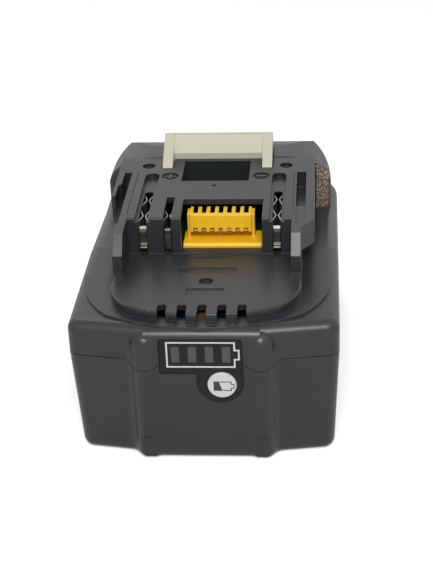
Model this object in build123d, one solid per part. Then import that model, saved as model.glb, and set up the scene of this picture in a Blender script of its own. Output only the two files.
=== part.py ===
from build123d import *
from math import cos, pi, sin, sqrt
import os

# Slide-on battery pack for a power tool.
# Millimetres. Z is up, the pack rests on z = 0, the gauge faces -Y and the latch is at +Y.
# The origin is under the middle of the pack.

# Whole case
cell_end_room = 4.9
cell_row_room = 9.525
cell_top_room = 4.0
skirt_height = 10.1
rail_rise = 14.8
wall = 1.8
overrun = 1.0
fit_gap = 0.3
touch_gap = 0.1

# Plan of the case
floor_inset_side = 1.4
floor_inset_front = 3.0
floor_inset_middle = 2.2
front_sweep = 3.2
front_corner_radius = 3.6
rear_corner_radius = 13.0
rim_radius = 3.2
foot_radius = 3.0
parting_gap = 0.25
front_setback = 1.0
front_step = 1.4

# Shoulder that falls towards the head
slope_start_setback = 61.5
shoulder_fall = 2.3

# Head at the rear
head_side_setback = 2.1
head_length = 28.5
head_rise = 0.2
head_corner_radius = 26.5
roof_radius = 18.5
head_shoulder_width = 14.0
head_shoulder_drop = 9.0
head_edge_radius = 1.2
head_wall = 1.8

# Collar round the tongue
collar_rise = 0.6
collar_side_reach = 0.2
collar_rear_gap = 7.9
collar_front_gap = 1.0
collar_mid_setback = 2.1
collar_shoulder_reach = 0.5

# How far forward the collar's bends lie, over its length
collar_shares = (0.428, 0.759)

# Tongue plate in front of the platform
tongue_rise = 3.3
tongue_front_gap = 4.5
tongue_edge_radius = 0.5

# The bends of the tongue's side: x over its half width, y over its length from the front
tongue_shares = ((1.0, 0.521), (0.955, 0.301), (0.802, 0.140))

# Platform that carries the rails
platform_length = 43.5
platform_half_width = 26.7
platform_edge = 0.5
flange_width = 3.7
flange_thickness = 7.35
flange_front_reach = 6.7
flange_end_slant = 5.5
left_ledge_thickness = 1.6
left_strip_length = 28.0
top_wall = 1.8

# Guide arms on the tongue
arm_width = 2.8
arm_flat_length = 9.7
arm_ramp_length = 4.5
arm_ramp_drop = 5.3
arm_foot_length = 3.0
arm_foot_height = 0.9

# Slots in the platform
terminal_inset = 7.15
terminal_recess_width = 4.3
terminal_recess_depth = 1.4
terminal_recess_length = 32.2
terminal_slot_width = 2.6
terminal_slot_length = 21.4
charge_centre = 12.3
charge_slot_width = 2.4
charge_slot_length = 14.5
outer_slot_setback = 10.6
outer_slot_length = 36.6
left_slot_inset = 4.3
left_slot_narrow_width = 2.3
left_slot_wide_width = 3.2
left_slot_narrow_length = 8.6
left_slot_deep_width = 1.1
right_slot_inset = 5.4
right_slot_width = 2.8
right_slot_far_length = 23.0
right_slot_far_depth = 5.2
right_slot_near_depth = 1.0
seam_width = 0.3
seam_depth = 0.25
seam_line_inset = 2.7
seam_line_length = 30.4

# Recesses in the platform
window_half_width = 10.3
window_length = 15.4
window_setback = 1.7
window_depth = 9.0
window_rib_pitch = 4.35
window_rib_width = 0.8
window_rib_length = 3.6
window_rib_height = 5.5
window_wall = 1.4
mark_radius = 2.6
mark_depth = 0.6
mark_centre = 14.05
mark_setback = 13.4
mark_bar_width = 0.8
mark_bar_length = 3.4
dimple_radius = 2.0
dimple_depth = 1.2
dimple_centre = 21.5
dimple_setback = 5.5
pip_radius = 0.8
pip_depth = 0.3
pip_setback = 20.7

# Signal connector opening
connector_left = -8.4
connector_right = 15.3
connector_opening_length = 13.0
connector_sill_height = 0.4
connector_sill_depth = 2.9

# Vents and marks on the tongue
vent_count = 5
vent_pitch = 5.5
vent_width = 2.5
vent_length = 5.6
vent_pad_height = 0.5
vent_pad_length = 1.4
vent_pad_width = 2.3
tongue_hole_radius = 2.0
tongue_hole_depth = 1.0
tongue_hole_share = 0.523
box_depth = 0.4

# Shallow boxes on the tongue: width and length over the tongue's half width, and how far
# they lie from its front over its length
box_shares = ((0.444, 0.097, 0.934), (0.619, 0.142, 0.710), (0.403, 0.194, 0.341))

# Front columns over the screws
column_centre = 15.9
column_radius = 4.1
column_top_drop = 5.2
column_blend_radius = 4.0
column_blend_inset = 0.05
column_blend_top_radius = 2.5
dip_half_width = 5.3
dip_depth = 2.4
dip_wall = 9.0

# Scoops in the columns' feet
scoop_radius = 4.0
scoop_arch_radius = 3.5
scoop_height = 8.8
scoop_gap = 0.7

# Front and rear screw bosses and their wells
front_boss_setback = 6.3
front_boss_radius = 3.1
well_radius = 2.4
well_depth = 12.5
rear_boss_inset = 12.9
rear_boss_setback = 4.8
rear_boss_radius = 3.7

# Case screws
screw_head_radius = 2.1
screw_head_height = 2.4
screw_shank_radius = 1.45
screw_shank_length = 23.3
screw_socket_radius = 1.2
screw_socket_depth = 1.5
screw_pin_radius = 0.45
screw_hole_gap = 0.15

# Lip where the shells meet
lip_height = 1.2
lip_width = 0.8
lip_front_setback = 16.0
lip_rear_setback = 12.0

# Latch
latch_half_width = 17.1
latch_travel = 6.0
latch_rise = 6.9
latch_post_width = 3.1
latch_post_reach = 6.9
latch_post_crown = 5.0
latch_bar_depth = 7.4
latch_bar_step = 2.0
latch_bar_crown = 4.5
latch_back_drop = 1.0
latch_bar_drop = 0.5
latch_column_height = 10.6
latch_web_height = 2.4
latch_web_half_width = 8.6
latch_edge_radius = 0.5

# Latch button and its pocket in the rear
pocket_half_width = 18.0
pocket_depth = 5.5
pocket_drop = 13.7
pocket_rise = 7.1
button_height = 13.0
button_inset = 0.5
button_lean = 2.9
button_crest_height = 5.0
button_rib_count = 3
button_rib_pitch = 2.4
button_rib_depth = 0.7
button_rib_width = 1.1

# Latch springs
spring_centre = 10.0
spring_radius = 1.95
spring_wire_radius = 0.28
spring_turns = 9
spring_bore_radius = 2.65
spring_bore_wall = 1.0
spring_pin_radius = 1.3
spring_pin_height = 2.6
arc_parts_per_turn = 4

# Cells
cell_radius = 9.175
cell_length = 65.2
cell_columns = 5
cell_rows = 2
cell_pitch_along = 18.9
cell_pitch_up = 18.7
cell_floor_gap = 0.35
cell_cap_radius = 4.2
cell_cap_height = 0.7
cell_groove_depth = 0.35
cell_groove_width = 1.0
cell_groove_inset = 3.2
cell_edge_radius = 0.6

# Cell holders
holder_thickness = 9.0
holder_inset = 0.3
holder_bore_gap = 0.12
holder_margin = 0.9
holder_top_gap = 0.15

# Nickel straps and insulators
strap_thickness = 0.2
strap_width = 8.0
strap_edge = 2.0
strap_tab_width = 5.0
insulator_thickness = 0.2
insulator_margin = 1.0

# Foam pads under the cells
foam_end_gap = 2.3
foam_width = 3.0

# Board carrier
carrier_side_setback = 0.8
carrier_thickness = 1.2
carrier_margin = 0.5
carrier_arm_width = 7.0
carrier_arm_overlap = 4.0
carrier_post_height = 0.3
carrier_post_radius = 2.1
carrier_boss_depth = 1.6
carrier_window_margin = 5.0
carrier_bar = 4.0

# Main board
board_thickness = 1.6
board_side_gap = 0.6
board_front_reach = 25.0
board_rear_gap = 9.5
board_corner = 3.0
board_screw_side_gap = 3.6
board_screw_edge_gap = 12.15
board_screw_rear_gap = 9.05
board_screw_head_radius = 2.0
board_screw_head_height = 1.3
board_screw_shank_radius = 0.9
board_screw_shank_length = 4.2

# Chips on the board: centre x, length x and length y over the board's half width,
# centre y over its length, height over its thickness
chip_shares = ((-0.43, 0.39, 0.30, 0.18, 0.75), (0.09, 0.26, 0.26, 0.16, 0.62),
               (0.52, 0.26, 0.17, 0.19, 1.0), (-0.34, 0.09, 0.05, 0.91, 0.38),
               (0.26, 0.22, 0.17, 0.89, 0.62))

# Power terminals
terminal_sheet = 0.35
terminal_base_thickness = 0.8
terminal_base_width = 6.2
terminal_base_front_gap = 3.4
terminal_base_length = 17.6
terminal_throat_gap = 0.35
terminal_flare = 1.0
terminal_finger_half_length = 3.6
terminal_first_setback = 6.0
terminal_pair_pitch = 11.0
terminal_top_gap = 2.1
terminal_lug_height = 3.4
terminal_lug_length = 1.4
charge_base_width = 4.0
charge_base_length = 8.6

# Signal connector
connector_gap = 0.25
connector_front_gap = 3.2
connector_base_rise = 1.5
connector_base_chamfer = 0.6
contact_count = 7
contact_pitch = 2.5
connector_block_width = 18.1
connector_block_offset = 0.6
connector_block_length = 6.2
connector_block_rear_gap = 0.9
connector_block_drop = 2.0
connector_block_height = 5.3
connector_wall = 1.6
connector_comb_width = 1.45
connector_comb_length = 4.4
connector_comb_depth = 2.4
connector_hole_width = 1.3
connector_hole_height = 1.2
connector_cheek_width = 0.9
connector_cheek_setback = 2.0
connector_cheek_drop = 0.6
contact_width = 0.64
contact_thickness = 0.4
contact_top_gap = 0.9

# Gauge in the front wall
gauge_centre_x = -0.3
panel_half_width = 11.5
panel_top_gap = 2.5
panel_height = 11.2
panel_thickness = 0.9
panel_recess = 0.35
panel_gap = 0.15
panel_corner_radius = 0.8
check_centre_x = 5.28
check_panel_gap = 3.4
check_lobe_radius = 6.45
check_lobe_offset_x = 0.47
check_lobe_offset_z = 0.45
check_radius = 4.0
check_gap = 0.2
check_travel = 0.6
check_proud = 0.3
check_flange_radius = 4.9
check_flange_thickness = 0.8
check_stem_radius = 1.1
led_count = 4
led_pitch = 4.65
led_width = 2.5
led_height = 5.1
led_panel_gap = 5.1
led_lens_gap = 0.05
gauge_frame_half_width = 9.5
gauge_frame_half_height = 4.05
gauge_frame_line = 0.5
gauge_frame_depth = 0.2
gauge_nub_width = 1.2
gauge_nub_half_height = 1.7
gauge_board_half_width = 9.6
gauge_board_margin = 4.6
gauge_board_height = 17.5
gauge_board_thickness = 1.0
gauge_board_depth = 5.3
switch_size = 4.5
switch_body_length = 1.0
plunger_radius = 1.0
cable_width = 6.0
cable_thickness = 0.3

# Thermistor and foil label
thermistor_radius = 0.85
label_width = 4.0
label_height = 14.4
label_thickness = 0.15
label_inset = 0.35
label_foot_gap = 0.15

# Places that follow from the sizes
rear_y = (cell_columns - 1) / 2 * cell_pitch_along + cell_radius + cell_row_room
front_y = -rear_y
half_width = cell_length / 2 + cell_end_room
cell_first_z = wall + cell_floor_gap + cell_radius
cell_top = cell_first_z + (cell_rows - 1) * cell_pitch_up + cell_radius
shoulder_height = cell_top + cell_top_room
parting_height = shoulder_height - skirt_height
rail_top_height = shoulder_height + rail_rise
head_half_width = half_width - head_side_setback
head_front = rear_y - head_length
platform_rear = head_front
platform_front = platform_rear - platform_length
shoulder_low = shoulder_height - shoulder_fall
roof_height = rail_top_height + head_rise
flange_half_width = platform_half_width + flange_width
flange_bottom = rail_top_height - flange_thickness
ledge_top = flange_bottom + left_ledge_thickness
tongue_front = front_y + tongue_front_gap
tongue_length = platform_front - tongue_front
tongue_half_width = platform_half_width + touch_gap
tongue_height = shoulder_height + tongue_rise
collar_height = shoulder_height + collar_rise
collar_rear = platform_front - collar_rear_gap
column_y = front_y + column_radius
column_top = shoulder_height - column_top_drop
rear_boss_centre = half_width - rear_boss_inset
pocket_bottom = shoulder_height - pocket_drop
pocket_top = shoulder_height + pocket_rise
spring_bore_top = rail_top_height - spring_bore_wall
front_face = front_y + front_setback
latch_column_bottom = rail_top_height - latch_column_height
spring_y = head_front + latch_bar_depth / 2 + fit_gap / 2

holder_top = cell_top + holder_top_gap
carrier_top = holder_top + touch_gap + carrier_thickness
board_bottom = carrier_top + carrier_post_height
board_top = board_bottom + board_thickness
ceiling = holder_top + strap_thickness + touch_gap
terminal_centre = platform_half_width - terminal_inset
left_slot_inner = flange_half_width - left_slot_inset
right_slot_inner = flange_half_width - right_slot_inset
platform_inner = platform_half_width - arm_width - touch_gap
board_half_width = platform_inner - board_side_gap
board_screw_half_pitch = board_half_width - board_screw_side_gap
carrier_half_width = board_half_width - carrier_side_setback
board_front = platform_front - board_front_reach
board_rear = head_front - board_rear_gap
connector_base_top = tongue_height + connector_base_rise
connector_block_top = rail_top_height - connector_block_drop
connector_cheek_top = connector_block_top - connector_cheek_drop
panel_top = shoulder_height - panel_top_gap
panel_bottom = panel_top - panel_height
check_centre_z = panel_bottom - check_panel_gap
led_centre_z = panel_top - led_panel_gap
gauge_board_bottom = check_centre_z - gauge_board_margin
gauge_board_top = gauge_board_bottom + gauge_board_height


def block(x0, x1, y0, y1, z0, z1):
    size = Box(x1 - x0, y1 - y0, z1 - z0)
    return Pos((x0 + x1) / 2, (y0 + y1) / 2, (z0 + z1) / 2) * size


def disc(radius, x, y, z0, z1):
    return Pos(x, y, (z0 + z1) / 2) * Cylinder(radius, z1 - z0)


def disc_along_y(radius, x, z, y0, y1):
    return Pos(x, (y0 + y1) / 2, z) * Rot(90, 0, 0) * Cylinder(radius, y1 - y0)


def outline(points):
    return make_face(Polyline(*points, close=True))


def prism_up(points, z0, z1):
    return extrude(Pos(0, 0, z0) * outline(points), z1 - z0)


def prism_along_x(points, x0, x1):
    return extrude(Plane.YZ.offset(x0) * outline(points), x1 - x0)


def mirrored_pair(shape):
    return shape + mirror(shape, Plane.YZ)


def half_width_at(z):
    return half_width - floor_inset_side * (1 - z / parting_height)


def front_at(z):
    return front_face + front_step + floor_inset_front * (1 - z / parting_height)


def case_plan(inset, z):
    # The outline of the case seen from above, at one height.
    side = half_width_at(min(z, parting_height)) - inset
    front = front_at(min(z, parting_height)) + inset
    rear = rear_y - inset
    points = [(-side, rear), (-side, front + front_sweep), (-column_centre, front),
              (column_centre, front), (side, front + front_sweep), (side, rear)]
    plan = outline(points)
    rear_corners = plan.vertices().filter_by(lambda v: v.Y > 0)
    plan = fillet(rear_corners, rear_corner_radius - inset)
    front_corners = plan.vertices().filter_by(lambda v: v.Y < 0 and abs(v.X) > column_centre + wall)
    return fillet(front_corners.filter_by(lambda v: v.Y < front + front_sweep + touch_gap),
                  front_corner_radius - inset)


def tub(inset, bottom, top):
    # The tapered lower part with straight walls above the parting line.
    low = Pos(0, 0, bottom) * case_plan(inset, bottom)
    middle = Pos(0, 0, parting_height) * case_plan(inset, parting_height)
    return loft([low, middle], ruled=True) + extrude(middle, top - parting_height)


def shoulder_fall_cut():
    start = rear_y - slope_start_setback
    high = shoulder_height + overrun
    points = [(start, shoulder_height), (head_front, shoulder_low),
              (rear_y + overrun, shoulder_low), (rear_y + overrun, high), (start, high)]
    return prism_along_x(points, -half_width - overrun, half_width + overrun)


def is_rim(edge):
    middle = edge.center()
    is_cross_line = abs(middle.X) < touch_gap and abs(middle.Y) < rear_y - rear_corner_radius
    return edge.bounding_box().min.Z > shoulder_low - touch_gap and not is_cross_line


def case_body():
    body = tub(0, 0, shoulder_height) - shoulder_fall_cut()
    body = fillet(body.edges().filter_by(is_rim), rim_radius)
    foot = body.edges().filter_by(lambda e: e.bounding_box().max.Z < touch_gap)
    return fillet(foot, foot_radius)


def middle_front():
    # The middle of the front stands out a little between the two columns.
    rear = front_at(0) + foot_radius + wall
    low_front = front_face + floor_inset_middle
    low = outline([(-column_centre, low_front), (column_centre, low_front),
                   (column_centre, rear), (-column_centre, rear)])
    high = outline([(-column_centre, front_face), (column_centre, front_face),
                    (column_centre, rear), (-column_centre, rear)])
    high = Pos(0, 0, parting_height) * high
    body = loft([low, high], ruled=True) + extrude(high, shoulder_height - parting_height)
    front_edges = body.edges().filter_by(Axis.X).sort_by(Axis.Y)
    top = front_edges.filter_by(lambda e: e.center().Z > shoulder_height - touch_gap)[0]
    body = fillet(top, rim_radius)
    bottom = body.edges().filter_by(Axis.X).filter_by(lambda e: e.center().Z < touch_gap)
    return fillet(bottom.sort_by(Axis.Y)[0], foot_radius)


def head_plan(inset):
    # Seen from above, the head has a straight front and two wide round rear corners.
    width = head_half_width - inset
    rear = rear_y - inset
    plan = outline([(-width, 0), (-width, rear), (width, rear), (width, 0)])
    corners = plan.vertices().filter_by(lambda v: v.Y > head_front)
    return fillet(corners, head_corner_radius - inset)


def head(inset, bottom):
    # The raised rear end, with a round roof and round shoulders at its sides.
    front = head_front + inset
    radius = roof_radius - inset
    centre_y = rear_y - roof_radius
    centre_z = roof_height - roof_radius
    diagonal = radius * sqrt(1 / 2)
    roof = Line((front, centre_z + radius), (centre_y, centre_z + radius))
    back = ThreePointArc((centre_y, centre_z + radius), (centre_y + diagonal, centre_z + diagonal),
                         (centre_y + radius, centre_z))
    rest = Polyline((centre_y + radius, centre_z), (centre_y + radius, bottom), (front, bottom),
                    (front, centre_z + radius))
    side = make_face(Plane.YZ * (roof + back + rest))
    width = head_half_width - inset
    long_body = extrude(side, width, both=True)
    across = head_shoulder_width - inset
    drop = head_shoulder_drop - inset
    top = centre_z + radius
    right = EllipticalCenterArc((width - across, top - drop), across, drop, arc_size=90)
    left = EllipticalCenterArc((across - width, top - drop), across, drop, start_angle=90,
                                 arc_size=90)
    ridge = Line((width - across, top), (across - width, top))
    sides = Polyline((-width, top - drop), (-width, bottom), (width, bottom),
                     (width, top - drop))
    tunnel = extrude(Plane.XZ * make_face(right + ridge + left + sides), rear_y + overrun,
                     both=True)
    shape = long_body & tunnel & extrude(Pos(0, 0, bottom) * head_plan(inset), roof_height)
    if inset == 0:
        face = shape.faces().sort_by(Axis.Y)[0]
        edges = face.edges().filter_by(lambda e: e.bounding_box().max.Z > bottom + wall)
        shape = fillet(edges, head_edge_radius)
    return shape


def collar_plan():
    front = front_face + collar_front_gap
    length = collar_rear - front
    half = head_half_width + collar_side_reach
    middle, shoulder = collar_shares
    points = [(half, collar_rear), (half - collar_mid_setback, collar_rear - middle * length),
              (tongue_half_width + collar_shoulder_reach, collar_rear - shoulder * length)]
    mirrored = [(-x, y) for x, y in points]
    right = ThreePointArc(*points)
    left = ThreePointArc(*mirrored)
    nose = ThreePointArc(points[2], (0, front), mirrored[2])
    return make_face(right + nose + left + Line(mirrored[0], points[0]))


def tongue_plan():
    right = [(x * tongue_half_width, tongue_front + y * tongue_length) for x, y in tongue_shares]
    left = [(-x, y) for x, y in right]
    nose = ThreePointArc(right[2], (0, tongue_front), left[2])
    sides = Polyline(left[0], (-tongue_half_width, platform_front + wall),
                     (tongue_half_width, platform_front + wall), right[0])
    return make_face(ThreePointArc(*right) + nose + ThreePointArc(*left) + sides)


def tongue():
    plate = extrude(Pos(0, 0, shoulder_low) * tongue_plan(), tongue_height - shoulder_low)
    top = plate.faces().sort_by(Axis.Z)[-1]
    rim = top.edges().filter_by(lambda e: e.center().Y < platform_front)
    return fillet(rim, tongue_edge_radius)


def flange_plan(sign, outer, rear):
    front = platform_front - flange_front_reach
    inner = platform_half_width - overrun
    slant = front + flange_end_slant
    points = [(inner, rear), (outer, rear), (outer, slant), (platform_half_width, front),
              (inner, front)]
    return [(sign * x, y) for x, y in points]


def platform():
    rear = platform_rear + wall
    core = block(-platform_half_width, platform_half_width, platform_front, rear,
                 shoulder_low, rail_top_height)
    front_face_of_core = core.faces().sort_by(Axis.Y)[0]
    core = chamfer(front_face_of_core.edges().sort_by(Axis.Z)[-1], platform_edge)
    right = prism_up(flange_plan(1, flange_half_width, rear), flange_bottom, rail_top_height)
    ledge = prism_up(flange_plan(-1, flange_half_width, rear), flange_bottom, ledge_top)
    strip = block(-flange_half_width, -platform_half_width, platform_rear - left_strip_length,
                  rear, flange_bottom, rail_top_height)
    return core + right + ledge + strip + mirrored_pair(arm())


def arm():
    # A guide arm stands on the tongue beside the platform and slopes down to the front.
    flat_end = platform_front - arm_flat_length
    ramp_end = flat_end - arm_ramp_length
    ramp_low = rail_top_height - arm_ramp_drop
    foot_top = tongue_height + arm_foot_height
    points = [(platform_front + wall, shoulder_low), (platform_front + wall, rail_top_height),
              (flat_end, rail_top_height), (ramp_end, ramp_low), (ramp_end, foot_top),
              (ramp_end - arm_foot_length, tongue_height), (ramp_end - arm_foot_length, shoulder_low)]
    return prism_along_x(points, platform_half_width - arm_width, platform_half_width)


def column_plan(z):
    # One column seen from above, with a soft hollow on either side of it.
    lean = floor_inset_middle * (1 - z / parting_height)
    middle = front_face + lean + column_blend_inset
    front = front_at(z) + column_blend_inset
    slope = front_sweep / (half_width_at(z) - column_centre)
    reach = column_radius + column_blend_radius
    back = front + column_radius
    low_x = column_centre - reach
    high_x = column_centre + reach
    plan = outline([(low_x, back), (low_x, middle), (column_centre, middle),
                    (column_centre, front), (high_x, front + slope * reach), (high_x, back)])
    plan += Pos(column_centre, column_y + lean) * Circle(column_radius)
    hollows = plan.vertices().filter_by(lambda v: v.Y < back - wall and low_x + wall < v.X
                                        and v.X < high_x - wall)
    return Pos(0, 0, z) * fillet(hollows, column_blend_radius)


def column():
    # A round column over each front screw that leans with the front and ends in a dome.
    middle = column_plan(parting_height)
    shape = loft([column_plan(0), middle], ruled=True)
    shape += extrude(middle, column_top - parting_height)
    rim = shape.edges().filter_by(lambda e: e.bounding_box().min.Z > column_top - touch_gap)
    rim = rim.filter_by(lambda e: e.center().Y < column_y)
    shape = fillet(rim, column_blend_top_radius)
    foot = shape.edges().filter_by(lambda e: e.bounding_box().max.Z < touch_gap)
    foot = foot.filter_by(lambda e: e.bounding_box().max.Y < column_y + floor_inset_middle)
    shape = fillet(foot, foot_radius)
    shape += disc(column_radius, column_centre, column_y, parting_height, column_top)
    shape += Pos(column_centre, column_y, column_top) * Sphere(column_radius)
    low_front = front_y + floor_inset_middle
    bend = foot_radius * (1 - sqrt(1 / 2))
    points = [(front_y, shoulder_height), (front_y, parting_height), (low_front, foot_radius),
              (low_front + bend, bend), (low_front + foot_radius, 0), (0, 0),
              (0, shoulder_height)]
    return shape & prism_along_x(points, 0, half_width)


def button_pocket(margin):
    return block(-pocket_half_width - margin, pocket_half_width + margin,
                 rear_y - pocket_depth - margin, rear_y + overrun,
                 pocket_bottom - margin, pocket_top + margin)


def window_box(margin):
    rear = platform_rear - window_setback + margin
    return block(-window_half_width - margin, window_half_width + margin,
                 rear - window_length - margin * 2, rear,
                 rail_top_height - window_depth - margin, rail_top_height + overrun)


def outer_shape():
    body = case_body() + middle_front() + head(0, shoulder_low - rim_radius)
    body += platform() + tongue()
    body += extrude(Pos(0, 0, shoulder_low - rim_radius) * collar_plan(),
                    collar_height - shoulder_low + rim_radius)
    return body + mirrored_pair(column()) - mirrored_pair(scoop()) - button_pocket(0)


def cavity():
    # The hollow inside both shells.
    space = tub(wall, wall, ceiling)
    space += head(head_wall, shoulder_low - rim_radius)
    inner_tongue = offset(tongue_plan(), amount=-wall)
    inner_tongue = extrude(Pos(0, 0, shoulder_low - rim_radius) * inner_tongue,
                           tongue_height - wall - shoulder_low + rim_radius)
    space += inner_tongue
    inner_side = tongue_half_width - wall
    space += block(-inner_side, inner_side, platform_front - wall, platform_front + wall * 2,
                   shoulder_low - rim_radius, tongue_height - wall)
    space += block(-platform_inner, platform_inner, platform_front + wall, head_front + wall + overrun,
                   shoulder_low - rim_radius, rail_top_height - top_wall)
    space -= mirrored_pair(disc(column_radius, column_centre, column_y, 0, tongue_height))
    space -= mirrored_pair(disc(front_boss_radius, column_centre, front_y + front_boss_setback,
                                0, tongue_height))
    space -= mirrored_pair(rear_boss(0, ceiling))
    space -= button_pocket(wall)
    return space - window_box(window_wall)


def rear_boss(z0, z1):
    return disc(rear_boss_radius, rear_boss_centre, rear_y - rear_boss_setback, z0, z1)


def screw_places():
    front = front_y + front_boss_setback
    rear = rear_y - rear_boss_setback
    return [(-column_centre, front), (column_centre, front),
            (-rear_boss_centre, rear), (rear_boss_centre, rear)]


def rounded_slot(x0, x1, y0, y1, z0, z1, radius):
    slot = block(x0, x1, y0, y1, z0, z1)
    ends = slot.edges().filter_by(Axis.Z).filter_by(lambda e: e.center().Y > (y0 + y1) / 2)
    return fillet(ends, radius)


def terminal_slots():
    top = rail_top_height + overrun
    front = platform_front - overrun
    recess_half = terminal_recess_width / 2
    slot_half = terminal_slot_width / 2
    recess = rounded_slot(terminal_centre - recess_half, terminal_centre + recess_half, front,
                          platform_front + terminal_recess_length,
                          rail_top_height - terminal_recess_depth, top, recess_half - touch_gap)
    slot = rounded_slot(terminal_centre - slot_half, terminal_centre + slot_half, front,
                        platform_front + terminal_slot_length, tongue_height, top,
                        slot_half - touch_gap)
    small_half = charge_slot_width / 2
    small = rounded_slot(-charge_centre - small_half, -charge_centre + small_half, front,
                         platform_front + charge_slot_length, tongue_height, top,
                         small_half / 2)
    return mirrored_pair(recess) + mirrored_pair(slot) + small


def outer_slots():
    top = rail_top_height + overrun
    rear = platform_rear - outer_slot_setback
    front = rear - outer_slot_length
    jog = rear - left_slot_narrow_length
    inner = -left_slot_inner
    narrow = inner - left_slot_narrow_width
    wide = inner - left_slot_wide_width
    left = prism_up([(inner, rear), (narrow, rear), (narrow, jog), (wide, jog - overrun),
                     (wide, front), (inner, front)], ledge_top, top)
    deep = block(inner - left_slot_deep_width, inner, front, platform_rear - left_strip_length,
                 flange_bottom - overrun, top)
    split = rear - right_slot_far_length
    right_outer = right_slot_inner + right_slot_width
    far = block(right_slot_inner, right_outer, split, rear,
                rail_top_height - right_slot_far_depth, top)
    near = block(right_slot_inner, right_outer, front, split,
                 rail_top_height - right_slot_near_depth, top)
    return left + deep + far + near


def seam_lines():
    line_x = platform_half_width - seam_line_inset
    rear = platform_rear - outer_slot_setback
    line = block(line_x, line_x + seam_width, rear - seam_line_length, rear,
                 rail_top_height - seam_depth, rail_top_height + overrun)
    cross = block(tongue_half_width, half_width + overrun, collar_rear, collar_rear + seam_width,
                  shoulder_height - seam_depth, collar_height + overrun)
    return mirrored_pair(line) + mirrored_pair(cross)


def polarity_marks():
    y = platform_rear - mark_setback
    top = rail_top_height
    low = top - mark_depth
    half_bar = mark_bar_width / 2
    half_length = mark_bar_length / 2
    marks = mirrored_pair(disc(mark_radius, mark_centre, y, low, top + overrun))
    for x in (-mark_centre, mark_centre):
        marks -= block(x - half_length, x + half_length, y - half_bar, y + half_bar, low, top)
    marks -= block(-mark_centre - half_bar, -mark_centre + half_bar, y - half_length,
                   y + half_length, low, top)
    return marks


def small_marks():
    top = rail_top_height + overrun
    dimple = disc(dimple_radius, dimple_centre, platform_rear - dimple_setback,
                  rail_top_height - dimple_depth, top)
    pip = disc(pip_radius, 0, platform_rear - pip_setback, rail_top_height - pip_depth, top)
    hole = disc(tongue_hole_radius, 0, tongue_front + tongue_hole_share * tongue_length,
                tongue_height - tongue_hole_depth, tongue_height + overrun)
    marks = mirrored_pair(dimple) + pip + hole
    for width, length, setback in box_shares:
        marks += sloped_box(width * tongue_half_width, length * tongue_half_width,
                             tongue_front + setback * tongue_length)
    return marks


def sloped_box(width, length, y):
    # A shallow pocket that is deepest at its rear edge.
    front = y - length / 2
    rear = y + length / 2
    top = tongue_height + overrun
    points = [(front, tongue_height), (rear, tongue_height - box_depth), (rear, top),
              (front, top)]
    return prism_along_x(points, -width / 2, width / 2)


def vent_places():
    return [(i - (vent_count - 1) / 2) * vent_pitch for i in range(vent_count)]


def vents():
    cuts = []
    for x in vent_places():
        cuts.append(rounded_slot(x - vent_width / 2, x + vent_width / 2,
                                 tongue_front - overrun, tongue_front + vent_length,
                                 collar_height, tongue_height + overrun,
                                 vent_width / 2 - touch_gap))
    return Compound(cuts)


def vent_pads():
    pads = []
    for left, right in zip(vent_places(), vent_places()[1:]):
        x = (left + right) / 2
        pads.append(block(x - vent_pad_width / 2, x + vent_pad_width / 2,
                          tongue_front - vent_pad_length, tongue_front + wall,
                          collar_height - touch_gap, collar_height + vent_pad_height))
    return Compound(pads)


def window_ribs():
    front = platform_rear - window_setback - window_length
    low = rail_top_height - window_depth
    ribs = []
    for i in (-1, 0, 1):
        x = i * window_rib_pitch
        ribs.append(block(x - window_rib_width / 2, x + window_rib_width / 2, front - touch_gap,
                          front + window_rib_length, low - touch_gap, low + window_rib_height))
    return Compound(ribs)


def connector_opening():
    return block(connector_left, connector_right, platform_front - overrun,
                 platform_front + connector_opening_length,
                 tongue_height + connector_sill_height, rail_top_height + overrun)


def connector_sill():
    return block(connector_left - touch_gap, connector_right + touch_gap, platform_front,
                 platform_front + connector_sill_depth, tongue_height - wall,
                 tongue_height + connector_sill_height)


def latch_opening():
    top = roof_height + overrun
    low = pocket_top - wall - overrun
    width = latch_half_width + fit_gap
    bar = block(-width, width, head_front - fit_gap, head_front + latch_bar_depth + fit_gap * 2,
                low, top)
    front = head_front - latch_post_reach - fit_gap
    post = block(width - latch_post_width - fit_gap * 2, width, front, head_front + wall, low, top)
    web_half = latch_web_half_width + fit_gap
    web = block(-web_half, web_half, rear_y - pocket_depth - wall - overrun, rear_y - wall,
                latch_column_bottom - latch_travel - fit_gap,
                latch_column_bottom + latch_web_height + fit_gap)
    return bar + mirrored_pair(post) + web


def parting_zone():
    # Everything under the parting line, which dips round the front columns.
    side = half_width + overrun
    low = block(-side, side, front_y - overrun, rear_y + overrun, -overrun,
                parting_height)
    left = column_centre - dip_half_width
    right = column_centre + dip_half_width
    arc = ThreePointArc((left, parting_height), (column_centre, parting_height - dip_depth),
                        (right, parting_height))
    edge = Polyline((right, parting_height), (right, parting_height + overrun),
                    (left, parting_height + overrun), (left, parting_height))
    dip = extrude(Plane.XZ.offset(-front_y - dip_wall) * make_face(arc + edge), dip_wall + overrun)
    return low - mirrored_pair(dip)


def gauge_outline(gap, y0, y1):
    # The dark gauge panel: a strip with a round lobe for the check button.
    half = panel_half_width - gap
    strip = block(gauge_centre_x - half, gauge_centre_x + half, y0, y1, panel_bottom + gap,
                  panel_top - gap)
    strip = fillet(strip.edges().filter_by(Axis.Y), panel_corner_radius)
    radius = check_lobe_radius - gap
    x = check_centre_x - check_lobe_offset_x
    z = check_centre_z + check_lobe_offset_z
    lobe = disc_along_y(radius, x, z, y0, y1)
    neck = block(x - radius, x + radius, y0, y1, z, panel_bottom + panel_corner_radius * 2)
    return strip + lobe + neck


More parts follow.
